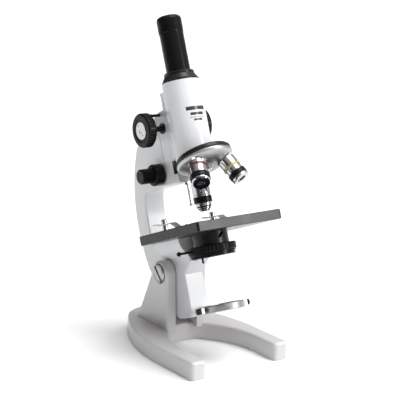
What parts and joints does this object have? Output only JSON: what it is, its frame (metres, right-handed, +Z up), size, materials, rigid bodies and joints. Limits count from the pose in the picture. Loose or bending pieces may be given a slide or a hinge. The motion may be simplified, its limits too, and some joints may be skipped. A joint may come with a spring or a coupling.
{
  "type": "microscope",
  "caption": "Monocular student microscope: horseshoe foot, inclining C-arm, rack focusing tube, revolving nosepiece, square stage with clips, swing-out filter and mirror.",
  "frame": {"origin": "on the table, under the middle of the foot's outline", "axes": "+Z up, +X to the right seen from the open end of the horseshoe, +Y from the open end towards the back"},
  "size_m": [0.126, 0.195, 0.3605],
  "materials": {
    "white_enamel": "glossy white enamel on cast iron",
    "white_casting": "glossy white enamel on die-cast aluminium",
    "bare_steel": "turned and polished",
    "black_steel": "blackened",
    "brass": "machined",
    "black_casting": "satin black enamel on die-cast aluminium",
    "black_anodised": "black anodised",
    "black_plastic": "moulded",
    "chrome": "polished",
    "satin_silver": "satin",
    "lens_glass": "polished",
    "ground_glass": "ground",
    "mirror_glass": "silvered",
    "red_band": "paint",
    "yellow_band": "paint"
  },
  "bodies": {
    "foot": {"foot_casting": "white_enamel", "joint_bolt": "bare_steel", "joint_nut": "bare_steel", "joint_washers": "brass"},
    "arm": {"arm_casting": "white_casting", "joint_bush": "brass", "fine_bushes": "brass", "stage_plate": "black_casting", "stage_screws": "black_anodised", "condenser_sleeve": "black_casting"},
    "stop_screw": {"stop_rod": "chrome"},
    "fine_slide": {"fine_block": "white_casting", "spindle_bushes": "black_steel", "clamp_screw": "black_steel"},
    "fine_knobs": {"fine_shaft": "bare_steel", "fine_knob_near": "black_plastic", "fine_knob_far": "black_plastic"},
    "coarse_knobs": {"coarse_spindle": "black_steel", "coarse_knob_near": "black_plastic", "coarse_knob_far": "black_plastic", "coarse_discs": "chrome"},
    "tube": {"tube_housing": "white_casting", "coarse_rack": "brass", "tube_collar": "black_casting", "draw_tube": "black_anodised", "nosepiece_plate": "black_casting", "nosepiece_pivot": "chrome", "detent_block": "black_casting", "stop_nut": "chrome"},
    "eyepiece": {"eyepiece_barrel": "chrome", "eyepiece_cap": "black_plastic", "eye_lens": "lens_glass"},
    "turret": {"turret_shell": "satin_silver", "turret_screw": "chrome", "objective_low_barrel": "chrome", "objective_low_colour_band": "red_band", "objective_low_collar": "black_anodised", "objective_low_face": "black_anodised", "objective_mid_barrel": "chrome", "objective_mid_colour_band": "yellow_band", "objective_mid_sleeve": "black_anodised", "objective_high_barrel": "chrome", "objective_high_sleeve": "black_anodised", "objective_lenses": "lens_glass"},
    "objective_nose": {"objective_high_nose": "chrome"},
    "clip_near": {"clip_post_near": "chrome", "clip_leaf_near": "bare_steel"},
    "clip_far": {"clip_post_far": "chrome", "clip_leaf_far": "bare_steel"},
    "condenser": {"condenser_barrel": "black_anodised", "condenser_lens": "lens_glass", "filter_pivot": "chrome"},
    "condenser_ring": {"condenser_ring": "black_anodised", "ring_handle": "black_anodised"},
    "filter_holder": {"filter_holder": "black_anodised", "filter_glass": "ground_glass"},
    "mirror_fork": {"mirror_fork": "satin_silver"},
    "mirror": {"mirror_cell": "satin_silver", "mirror_glass": "mirror_glass", "mirror_pins": "black_anodised"}
  },
  "joints": [
    {"name": "arm_tilt", "type": "hinge", "parent": "foot", "child": "arm", "pos_m": [0, 0.0195, 0.0805], "axis": [-1, 0, 0], "range_deg": [-19.3, 40.7]},
    {"name": "fine_slide", "type": "slide", "parent": "arm", "child": "fine_slide", "axis": [0, 0.3305, 0.9438], "range_m": [-0.001, 0.001]},
    {"name": "fine_knob", "type": "hinge", "parent": "arm", "child": "fine_knobs", "pos_m": [0, 0.03512, 0.18713], "axis": [1, 0, 0], "range_deg": [-360, 360]},
    {"name": "coarse_slide", "type": "slide", "parent": "fine_slide", "child": "tube", "axis": [0, 0.3305, 0.9438], "range_m": [-0.0126, 0.045]},
    {"name": "coarse_knob", "type": "hinge", "parent": "fine_slide", "child": "coarse_knobs", "pos_m": [0, 0.032, 0.23813], "axis": [1, 0, 0], "range_deg": [-516, 144.5]},
    {"name": "eyepiece_slide", "type": "slide", "parent": "tube", "child": "eyepiece", "axis": [0, 0.3305, 0.9438], "range_m": [0, 0.025]},
    {"name": "turret_turn", "type": "hinge", "parent": "tube", "child": "turret", "pos_m": [0, 0.00435, 0.2566], "axis": [0, -0.606, -0.7955], "continuous": true},
    {"name": "nose_spring", "type": "slide", "parent": "turret", "child": "objective_nose", "axis": [0, 0.3305, 0.9438], "range_m": [0, 0.002], "stiffness_N_per_m": 800, "springref_m": -0.002},
    {"name": "clip_near_turn", "type": "hinge", "parent": "arm", "child": "clip_near", "pos_m": [-0.0313, -0.00235, 0.13308], "axis": [0, 0.3305, 0.9438], "range_deg": [-60, 60]},
    {"name": "clip_far_turn", "type": "hinge", "parent": "arm", "child": "clip_far", "pos_m": [0.0313, -0.00235, 0.13308], "axis": [0, 0.3305, 0.9438], "range_deg": [-60, 60]},
    {"name": "condenser_slide", "type": "slide", "parent": "arm", "child": "condenser", "axis": [0, 0.3305, 0.9438], "range_m": [-0.007, 0]},
    {"name": "ring_turn", "type": "hinge", "parent": "condenser", "child": "condenser_ring", "pos_m": [0, -0.04397, 0.11862], "axis": [0, 0.3305, 0.9438], "range_deg": [0, 150.1]},
    {"name": "filter_swing", "type": "hinge", "parent": "condenser", "child": "filter_holder", "pos_m": [-0.0228, -0.04628, 0.11201], "axis": [0, 0.3305, 0.9438], "range_deg": [-110, 0]},
    {"name": "fork_turn", "type": "hinge", "parent": "arm", "child": "mirror_fork", "pos_m": [0, -0.01507, 0.04228], "axis": [0, 0.9438, -0.3305], "range_deg": [-60, 60]},
    {"name": "mirror_tip", "type": "hinge", "parent": "mirror_fork", "child": "mirror", "pos_m": [0, -0.06463, 0.05963], "axis": [1, 0, 0], "continuous": true},
    {"name": "stop_thread", "type": "slide", "parent": "tube", "child": "stop_screw", "axis": [0, 0.3305, 0.9438], "range_m": [-0.003, 0.0005]}
  ],
  "couplings": [
    {"joint": "fine_knob", "follows": "fine_slide", "rad_per_m": 6283.2},
    {"joint": "coarse_knob", "follows": "coarse_slide", "rad_per_m": -200},
    {"joint": "ring_turn", "follows": "condenser_slide", "rad_per_m": -374}
  ]
}
